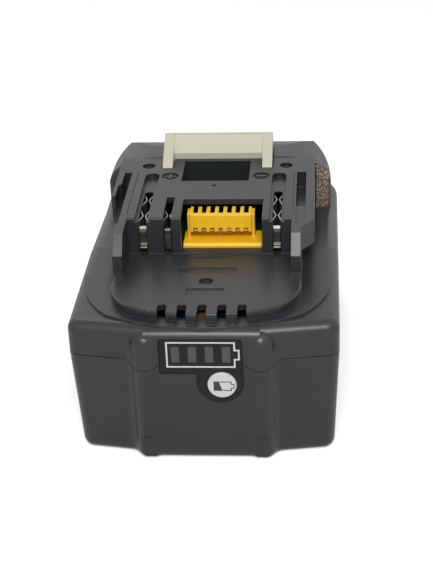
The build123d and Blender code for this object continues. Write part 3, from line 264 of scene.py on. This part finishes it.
metalLook = {
    "lineScale": 900.0, "lineDetail": 2.0, "stretch": (1.0, 1.0, 12.0), "bump": 0.01,
    "stainScale": 180.0, "stainDetail": 4.0, "stainRoughness": 0.7,
    "smoothShare": 0.7, "roughShare": 1.4,
}


def metal(name, colour, dark, rough):
    # drawn or stamped metal with fine lines and stained patches
    v = metalLook
    mat, tree, shader = newMaterial(name)
    point = addNode(tree, "ShaderNodeTexCoord").outputs["Object"]
    drawn = addNode(tree, "ShaderNodeMapping")
    drawn.inputs["Scale"].default_value = v["stretch"]
    lines = addNode(tree, "ShaderNodeTexNoise", Scale=v["lineScale"], Detail=v["lineDetail"])
    stains = addNode(tree, "ShaderNodeTexNoise", Scale=v["stainScale"], Detail=v["stainDetail"],
                     Roughness=v["stainRoughness"])
    tone = addNode(tree, "ShaderNodeMix", data_type="RGBA")
    tone.inputs["A"].default_value = srgb(*dark)
    tone.inputs["B"].default_value = srgb(*colour)
    roughness = addNode(tree, "ShaderNodeMapRange")
    roughness.inputs["To Min"].default_value = rough * v["smoothShare"]
    roughness.inputs["To Max"].default_value = rough * v["roughShare"]
    relief = addNode(tree, "ShaderNodeBump", Distance=v["bump"] * mm)
    edge = useGroup(tree, softEdge, Wear=0.0)
    tree.links.new(point, drawn.inputs["Vector"])
    tree.links.new(drawn.outputs["Vector"], lines.inputs["Vector"])
    tree.links.new(point, stains.inputs["Vector"])
    tree.links.new(stains.outputs["Fac"], tone.inputs["Factor"])
    tree.links.new(tone.outputs["Result"], shader.inputs["Base Color"])
    tree.links.new(lines.outputs["Fac"], roughness.inputs["Value"])
    tree.links.new(roughness.outputs["Result"], shader.inputs["Roughness"])
    tree.links.new(lines.outputs["Fac"], relief.inputs["Height"])
    tree.links.new(edge.outputs["Normal"], relief.inputs["Normal"])
    tree.links.new(relief.outputs["Normal"], shader.inputs["Normal"])
    shader.inputs["Metallic"].default_value = 1.0
    return mat


foilLook = {
    "ground": (104, 94, 84), "groundShare": 0.3, "grain": 3300.0, "bump": 0.03,
    "metallic": 0.3, "roughness": 0.45,
    "specks": ((0.40, (190, 186, 176)), (0.50, (70, 58, 50)), (0.66, (196, 92, 60)),
               (0.74, (92, 128, 86)), (0.82, (150, 140, 128)), (0.92, (120, 70, 54))),
}


def speckledFoil(name, v):
    # brownish foil with tiny specks of several colours
    mat, tree, shader = newMaterial(name)
    point = addNode(tree, "ShaderNodeTexCoord").outputs["Object"]
    cells = addNode(tree, "ShaderNodeTexVoronoi", Scale=v["grain"], Randomness=1.0)
    pick = addNode(tree, "ShaderNodeSeparateColor")
    ramp = addNode(tree, "ShaderNodeValToRGB")
    ramp.color_ramp.interpolation = "CONSTANT"
    for element in ramp.color_ramp.elements:
        element.color = srgb(*v["ground"])
    ramp.color_ramp.elements[1].position = v["groundShare"]
    for place, colour in v["specks"]:
        ramp.color_ramp.elements.new(place).color = srgb(*colour)
    relief = addNode(tree, "ShaderNodeBump", Distance=v["bump"] * mm)
    tree.links.new(point, cells.inputs["Vector"])
    tree.links.new(cells.outputs["Color"], pick.inputs["Color"])
    tree.links.new(pick.outputs["Red"], ramp.inputs["Fac"])
    tree.links.new(ramp.outputs["Color"], shader.inputs["Base Color"])
    tree.links.new(pick.outputs["Green"], relief.inputs["Height"])
    tree.links.new(relief.outputs["Normal"], shader.inputs["Normal"])
    shader.inputs["Metallic"].default_value = v["metallic"]
    shader.inputs["Roughness"].default_value = v["roughness"]
    return mat


# the third colour of each plastic is its lighter edge: partly wear, partly a painted highlight
finishes = {
    "case": plastic("caseBlack", (41, 44, 46), (34, 37, 39), (78, 82, 84), 0.31,
                    roughSpread=0.05, grain=2600.0, pits=0.35, bump=0.03, wearAndHighlightShare=0.25, dust=0.012,
                    gloss=0.38),
    "latch": plastic("latchIvory", (192, 190, 172), (184, 182, 162), (228, 225, 212),
                     0.42, grain=900.0, pits=0.2, bump=0.01, wearAndHighlightShare=0.4, glow=0.15),
    "holder": plastic("holderBlack", (34, 34, 34), (26, 26, 26), (60, 60, 60), 0.5),
    "connector": plastic("connectorYellow", (240, 192, 34), (234, 182, 26),
                         (255, 220, 80), 0.38, grain=1500.0, bump=0.008, glow=0.2),
    "panel": plastic("panelBlack", (27, 28, 27), (21, 22, 21), (50, 50, 48), 0.45,
                     grain=5000.0, bump=0.006, wearAndHighlightShare=0.2, gloss=0.2),
    "lamp": plastic("lampSmoke", (66, 67, 64), (54, 55, 53), (80, 80, 78), 0.4,
                    grain=7000.0, pits=0.8, bump=0.01, wearAndHighlightShare=0.2),
    "button": plastic("buttonSilver", (192, 193, 189), (182, 183, 179),
                      (225, 225, 222), 0.4, grain=4000.0, bump=0.006),
    "print": plastic("printSilver", (200, 200, 196), (186, 186, 182),
                     (220, 220, 218), 0.45, grain=4000.0, bump=0.004),
    "printDark": plastic("printDark", (48, 48, 46), (40, 40, 38), (60, 60, 58), 0.5),
    "board": plastic("boardGreen", (28, 70, 44), (20, 58, 36), (40, 92, 60), 0.4,
                     coat=0.3),
    "chip": plastic("chipBlack", (26, 26, 27), (20, 20, 21), (50, 50, 50), 0.55),
    "paper": plastic("paperGrey", (182, 196, 188), (170, 184, 176), (205, 214, 208),
                     0.75, grain=1400.0, bump=0.02),
    "foam": plastic("foamBlack", (30, 30, 30), (20, 20, 20), (40, 40, 40), 0.95,
                    grain=1800.0, pits=0.9, bump=0.12),
    "wrap": plastic("cellWrap", (40, 120, 140), (34, 108, 128), (70, 140, 158), 0.3,
                    grain=700.0, bump=0.01, coat=0.3),
    "film": plastic("cableFilm", (96, 72, 48), (84, 62, 40), (120, 96, 70), 0.35,
                    grain=1000.0, bump=0.006, coat=0.2),
    "resin": plastic("beadResin", (36, 28, 22), (28, 22, 18), (50, 42, 36), 0.25),
    "nickel": metal("nickelStrap", (205, 203, 196), (172, 168, 158), 0.35),
    "terminal": metal("terminalTin", (204, 200, 192), (132, 124, 110), 0.3),
    "foot": metal("terminalFoot", (118, 115, 108), (76, 73, 67), 0.36),
    "contact": metal("contactPlate", (212, 190, 140), (160, 132, 84), 0.3),
    "spring": metal("springWire", (190, 190, 188), (140, 140, 138), 0.3),
    "screw": metal("screwSteel", (96, 96, 98), (60, 60, 62), 0.4),
    "foil": speckledFoil("foilSpeckle", foilLook),
}

finishOfNode = {
    "lower_case": "case", "upper_case": "case", "latch": "latch",
    "latch_spring_right": "spring", "latch_spring_left": "spring",
    "cell_holder_right": "holder", "cell_holder_left": "holder",
    "insulator_right": "paper", "insulator_left": "paper", "foam_pads": "foam",
    "board_carrier": "holder", "main_circuit_board": "board", "board_chips": "chip",
    "board_screws": "screw", "case_screws": "screw", "positive_terminal": "terminal",
    "negative_terminal": "terminal", "charge_terminal": "terminal",
    "signal_connector": "connector", "signal_contacts": "contact", "gauge_panel": "panel",
    "gauge_leds": "lamp", "gauge_board": "board", "gauge_cable": "film", "check_switch": "chip",
    "switch_plunger": "button", "check_button": "button", "thermistor": "resin",
    "foil_label": "foil",
}


def dressNodes():
    for name, obj in nodes.items():
        key = finishOfNode.get(name)
        if key is None:
            key = "nickel" if name.startswith("cell_strap") else "wrap"
        obj.data.materials.clear()
        obj.data.materials.append(finishes[key])


dressNodes()
print("materials on", len(nodes), "nodes")

bevelSteps = 2


def addPiece(name, build, finish, body="pack", bevel=None):
    mesh = bpy.data.meshes.new(name)
    shape = bmesh.new()
    build(shape)
    bmesh.ops.recalc_face_normals(shape, faces=shape.faces)
    shape.to_mesh(mesh)
    shape.free()
    obj = addObject(name, mesh)
    mesh.materials.append(finishes[finish])
    if bevel:
        soften = obj.modifiers.new("soften", "BEVEL")
        soften.width = bevel * mm
        soften.segments = bevelSteps
        soften.limit_method = "ANGLE"
    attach(obj, body)


boxDigits = 4


def nodeBox(node):
    # a node's lowest and highest corner in mm, without the noise of its mesh
    return [[round(c / mm, boxDigits) for c in corner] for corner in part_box(node)]


def faceMiddle(node):
    # the middle of a node seen from the front: x and z
    low, high = nodeBox(node)
    return (low[0] + high[0]) / 2, (low[2] + high[2]) / 2


def signPoints(v, inset):
    # a battery sign: a box with a small nub at its right
    half, high, nubHigh = (v[key] - inset for key in ("half", "high", "nubHigh"))
    end = half + v["nubWidth"]
    return [(-half, -high), (half, -high), (half, -nubHigh), (end, -nubHigh),
            (end, nubHigh), (half, nubHigh), (half, high), (-half, high)]


def addRing(shape, outer, inner, centre, y0, y1):
    # a flat line of constant width, standing in the XZ plane
    rows = []
    for points in (outer, inner):
        for y in (y0, y1):
            rows.append([shape.verts.new(((centre[0] + x) * mm, y * mm, (centre[1] + z) * mm))
                         for x, z in points])
    outerFront, outerBack, innerFront, innerBack = rows
    count = len(outer)
    for i in range(count):
        j = (i + 1) % count
        shape.faces.new((outerFront[i], outerFront[j], innerFront[j], innerFront[i]))
        shape.faces.new((outerBack[i], innerBack[i], innerBack[j], outerBack[j]))
        shape.faces.new((outerFront[i], outerBack[i], outerBack[j], outerFront[j]))
        shape.faces.new((innerFront[i], innerFront[j], innerBack[j], innerBack[i]))


def addPlate(shape, points, centre, y0, y1):
    front = [shape.verts.new(((centre[0] + x) * mm, y0 * mm, (centre[1] + z) * mm))
             for x, z in points]
    back = [shape.verts.new(((centre[0] + x) * mm, y1 * mm, (centre[1] + z) * mm))
            for x, z in points]
    count = len(points)
    shape.faces.new(front)
    shape.faces.new(back[::-1])
    for i in range(count):
        j = (i + 1) % count
        shape.faces.new((front[i], back[i], back[j], front[j]))


gauge = {
    "half": 9.5, "high": 4.05, "nubWidth": 1.2, "nubHigh": 1.7, "line": 0.5,
    "sunk": 0.02, "deep": 0.19, "bevel": 0.04,
}


def buildGaugeOutline(shape):
    # lies in the groove around the four lamps
    v = gauge
    face = nodeBox("gauge_panel")[0][1]
    addRing(shape, signPoints(v, 0), signPoints(v, v["line"]), faceMiddle("gauge_leds"),
            face + v["sunk"], face + v["deep"])


addPiece("gaugeOutline", buildGaugeOutline, "print", bevel=gauge["bevel"])

icon = {
    "shift": (0.17, -0.25),           # from the middle of the button
    "half": 2.5, "high": 1.5, "nubWidth": 0.75, "nubHigh": 0.75, "line": 0.26,
    "proud": 0.03, "wedgeTop": 1.25, "wedgeBottom": 2.1,
}


def iconPlace(v):
    # its middle, and the front and back of its thin print
    x, z = faceMiddle("check_button")
    face = nodeBox("check_button")[0][1]
    return (x + v["shift"][0], z + v["shift"][1]), face - v["proud"], face + v["proud"]


def buildIconOutline(shape):
    addRing(shape, signPoints(icon, 0), signPoints(icon, icon["line"]), *iconPlace(icon))


def buildIconWedge(shape):
    # the charge that is left, as a filled part with a slanting end
    v = icon
    left = -v["half"] + v["line"]
    high = v["high"] - v["line"]
    points = [(left, -high), (left + v["wedgeBottom"], -high), (left + v["wedgeTop"], high),
              (left, high)]
    addPlate(shape, points, *iconPlace(v))


addPiece("buttonIconOutline", buildIconOutline, "printDark", body="check_button")
addPiece("buttonIconCharge", buildIconWedge, "printDark", body="check_button")
print("signs on the gauge done")


def growPiece(name, tree, values, body="pack"):
    # runs the tree on an empty object and keeps the result as a plain mesh
    seed = addObject(name + "Seed", bpy.data.meshes.new(name + "Seed"))
    grow = seed.modifiers.new("grow", "NODES")
    grow.node_group = tree
    for item in tree.interface.items_tree:
        if item.in_out == "INPUT":
            grow[item.identifier] = values[item.name]
    seed.update_tag()
    ready = seed.evaluated_get(bpy.context.evaluated_depsgraph_get())
    mesh = bpy.data.meshes.new_from_object(ready)
    seed.modifiers.remove(grow)
    bpy.data.objects.remove(seed)
    mesh.name = name
    obj = addObject(name, mesh)
    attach(obj, body)


def makeFormedTips():
    # a row of small curved tongues of sheet metal
    tree, start, end = newTree(
        "formedTips", "GeometryNodeTree",
        [("Count", "Int"), ("First", "Vector"), ("Pitch", "Float"), ("Width", "Float"),
         ("Depth", "Float"), ("Sheet", "Float"), ("Curl", "Float"), ("Steps", "Int"),
         ("Finish", "Material")],
        [("Geometry", "Geometry")])
    link = tree.links.new
    row = addNode(tree, "GeometryNodeMeshLine", mode="OFFSET")
    step = addNode(tree, "ShaderNodeCombineXYZ")
    size = addNode(tree, "ShaderNodeCombineXYZ")
    tongue = addNode(tree, "GeometryNodeMeshCube")
    place = addNode(tree, "GeometryNodeInputPosition")
    parts = addNode(tree, "ShaderNodeSeparateXYZ")
    share = addNode(tree, "ShaderNodeMath", operation="DIVIDE")
    square = addNode(tree, "ShaderNodeMath", operation="MULTIPLY")
    rise = addNode(tree, "ShaderNodeMath", operation="MULTIPLY")
    lift = addNode(tree, "ShaderNodeCombineXYZ")
    bend = addNode(tree, "GeometryNodeSetPosition")
    spread = addNode(tree, "GeometryNodeInstanceOnPoints")
    real = addNode(tree, "GeometryNodeRealizeInstances")
    dress = addNode(tree, "GeometryNodeSetMaterial")
    link(start.outputs["Count"], row.inputs["Count"])
    link(start.outputs["First"], row.inputs["Start Location"])
    link(start.outputs["Pitch"], step.inputs["X"])
    link(step.outputs["Vector"], row.inputs["Offset"])
    for label, axis in (("Width", "X"), ("Depth", "Y"), ("Sheet", "Z")):
        link(start.outputs[label], size.inputs[axis])
    link(size.outputs["Vector"], tongue.inputs["Size"])
    link(start.outputs["Steps"], tongue.inputs["Vertices Y"])
    link(place.outputs["Position"], parts.inputs["Vector"])
    link(parts.outputs["Y"], share.inputs[0])
    link(start.outputs["Depth"], share.inputs[1])
    link(share.outputs[0], square.inputs[0])
    link(share.outputs[0], square.inputs[1])
    link(square.outputs[0], rise.inputs[0])
    link(start.outputs["Curl"], rise.inputs[1])
    link(rise.outputs[0], lift.inputs["Z"])
    link(tongue.outputs["Mesh"], bend.inputs["Geometry"])
    link(lift.outputs["Vector"], bend.inputs["Offset"])
    link(row.outputs["Mesh"], spread.inputs["Points"])
    link(bend.outputs["Geometry"], spread.inputs["Instance"])
    link(spread.outputs["Instances"], real.inputs["Geometry"])
    link(real.outputs["Geometry"], dress.inputs["Geometry"])
    link(start.outputs["Finish"], dress.inputs["Material"])
    link(dress.outputs["Geometry"], end.inputs["Geometry"])
    return tree


signalTip = {
    "count": 7, "contactWidth": 0.64, "ahead": 0.35, "below": 0.05,
    "width": 0.8, "depth": 1.0, "sheet": 0.35, "curl": -0.9, "steps": 9,
}


def addSignalTips(v):
    # one tip in front of each contact of the connector
    low, high = nodeBox("signal_contacts")
    first = (low[0] + v["contactWidth"] / 2, low[1] - v["ahead"],
             (low[2] + high[2]) / 2 - v["below"])
    pitch = (high[0] - low[0] - v["contactWidth"]) / (v["count"] - 1)
    growPiece("signalTips", makeFormedTips(), {
        "Count": v["count"], "First": tuple(c * mm for c in first), "Pitch": pitch * mm,
        "Width": v["width"] * mm, "Depth": v["depth"] * mm, "Sheet": v["sheet"] * mm,
        "Curl": v["curl"] * mm, "Steps": v["steps"], "Finish": finishes["contact"]})


addSignalTips(signalTip)


def addStrip(shape, path, thickness, x0, x1):
    # a bent sheet, whose path gives y and z of its front face
    rows = []
    for i, (y, z) in enumerate(path):
        before = path[max(i - 1, 0)]
        after = path[min(i + 1, len(path) - 1)]
        run = Vector((after[0] - before[0], after[1] - before[1])).normalized()
        back = (y + run.y * thickness, z - run.x * thickness)
        rows.append([shape.verts.new((x * mm, point[0] * mm, point[1] * mm))
                     for point in ((y, z), back) for x in (x0, x1)])
    for low, high in zip(rows, rows[1:]):
        for i, j in ((0, 1), (1, 3), (3, 2), (2, 0)):
            shape.faces.new((low[i], low[j], high[j], high[i]))
    for row in (rows[0], rows[-1]):
        shape.faces.new((row[0], row[1], row[3], row[2]))


# The front legs of the contacts: each rises from its lug and ends in a rounded lip.
# A path gives y from the front of the contact and z from its underside.
powerFoot = {
    "nodes": ("positive_terminal", "negative_terminal"), "half": 1.05, "sheet": 0.3,
    "bevel": 0.06,
    "path": ((0.6, 3.05), (0.0, 4.05), (-1.1, 4.95), (-1.6, 5.25), (-1.7, 5.65),
             (-1.4, 5.95), (-0.8, 6.15), (-0.5, 6.85), (-0.5, 8.05), (-0.7, 9.25),
             (-0.8, 10.25), (-0.6, 11.25), (-0.1, 12.05)),
}
chargeFoot = {
    "nodes": ("charge_terminal",), "half": 0.9, "sheet": 0.3, "bevel": 0.06,
    "path": ((0.6, 3.05), (-0.1, 4.05), (-0.7, 4.85), (-0.9, 5.85), (-0.9, 10.05),
             (-1.2, 10.85), (-1.0, 11.35), (-0.4, 11.55)),
}


def addFeet(name, v):
    def build(shape):
        for node in v["nodes"]:
            middle = faceMiddle(node)[0]
            front, under = nodeBox(node)[0][1:]
            path = [(front + y, under + z) for y, z in v["path"]]
            addStrip(shape, path, v["sheet"], middle - v["half"], middle + v["half"])
    addPiece(name, build, "foot", bevel=v["bevel"])


addFeet("terminalFeet", powerFoot)
addFeet("chargeFoot", chargeFoot)
print("contact tips and feet done")

latchCoils = {
    "travel": 6.0, "merge": 0.0005, "joint": "latch_press",
    "nodes": ("latch_spring_right", "latch_spring_left"),
}


def addLatchCoil(v, node):
    # a copy of the coil as a piece of its own, standing in for the node, which is hidden
    mesh = bpy.data.meshes.new(node + "_coil")
    shape = bmesh.new()
    shape.from_mesh(nodes[node].data)
    bmesh.ops.remove_doubles(shape, verts=shape.verts, dist=v["merge"] * mm)
    shape.to_mesh(mesh)
    shape.free()
    obj = addObject(node + "_coil", mesh)
    mesh.materials.append(finishes["spring"])
    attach(obj, "pack")
    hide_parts(node)
    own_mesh(obj)


for node in latchCoils["nodes"]:
    addLatchCoil(latchCoils, node)
print("latch springs done")


light = {                             # places and sizes in metres
    "key": {"place": (0.05, -0.62, 0.66), "size": 0.34, "power": 6.0},
    "fill": {"place": (0.38, -0.20, 0.70), "size": 0.60, "power": 0.5},
    "back": {"place": (-0.30, 0.55, 0.70), "size": 0.40, "power": 0.8},
    "world": 0.34,
    "aim": (0, 0, 0.03),
}


def addLamp(name, values):
    data = bpy.data.lights.new(name, "AREA")
    data.shape = "DISK"
    data.size = values["size"]
    data.energy = values["power"]
    obj = addObject(name, data)
    place = Vector(values["place"])
    aim = Vector(light["aim"]) - place
    obj.matrix_world = (Matrix.Translation(place)
                        @ aim.to_track_quat("-Z", "Y").to_matrix().to_4x4())


def addWorld(strength):
    world = bpy.data.worlds.new("studio")
    scene.world = world
    world.use_nodes = True
    tree = world.node_tree
    ground = tree.nodes["Background"]
    ground.inputs["Color"].default_value = (1, 1, 1, 1)
    path = addNode(tree, "ShaderNodeLightPath")
    seen = addNode(tree, "ShaderNodeMath", operation="MAXIMUM")
    seenToo = addNode(tree, "ShaderNodeMath", operation="MAXIMUM")
    level = addNode(tree, "ShaderNodeMapRange")
    level.inputs["To Min"].default_value = strength
    tree.links.new(path.outputs["Is Camera Ray"], seen.inputs[0])
    tree.links.new(path.outputs["Is Transmission Ray"], seen.inputs[1])
    tree.links.new(seen.outputs[0], seenToo.inputs[0])
    tree.links.new(path.outputs["Is Glossy Ray"], seenToo.inputs[1])
    tree.links.new(seenToo.outputs[0], level.inputs["Value"])
    tree.links.new(level.outputs["Result"], ground.inputs["Strength"])


floorLook = {"size": 6.0, "tone": 0.9, "roughness": 0.9, "lift": 0.35}   # size in metres


def addFloor(v):
    mesh = bpy.data.meshes.new("floor")
    half = v["size"] / 2
    mesh.from_pydata([(-half, -half, 0), (half, -half, 0), (half, half, 0), (-half, half, 0)], [],
                     [(0, 1, 2, 3)])
    obj = addObject("floor", mesh)
    mat, tree, shader = newMaterial("floorWhite")
    shader.inputs["Base Color"].default_value = (v["tone"], v["tone"], v["tone"], 1)
    shader.inputs["Roughness"].default_value = v["roughness"]
    shader.inputs["Emission Color"].default_value = (1, 1, 1, 1)
    path = addNode(tree, "ShaderNodeLightPath")
    lift = addNode(tree, "ShaderNodeMath", operation="MULTIPLY")
    lift.inputs[1].default_value = v["lift"]
    tree.links.new(path.outputs["Is Camera Ray"], lift.inputs[0])
    tree.links.new(lift.outputs[0], shader.inputs["Emission Strength"])
    mesh.materials.append(mat)


for lampName in ("key", "fill", "back"):
    addLamp(lampName, light[lampName])
addWorld(light["world"])
addFloor(floorLook)
scene.view_settings.view_transform = "Standard"
print("light, floor and camera in place")
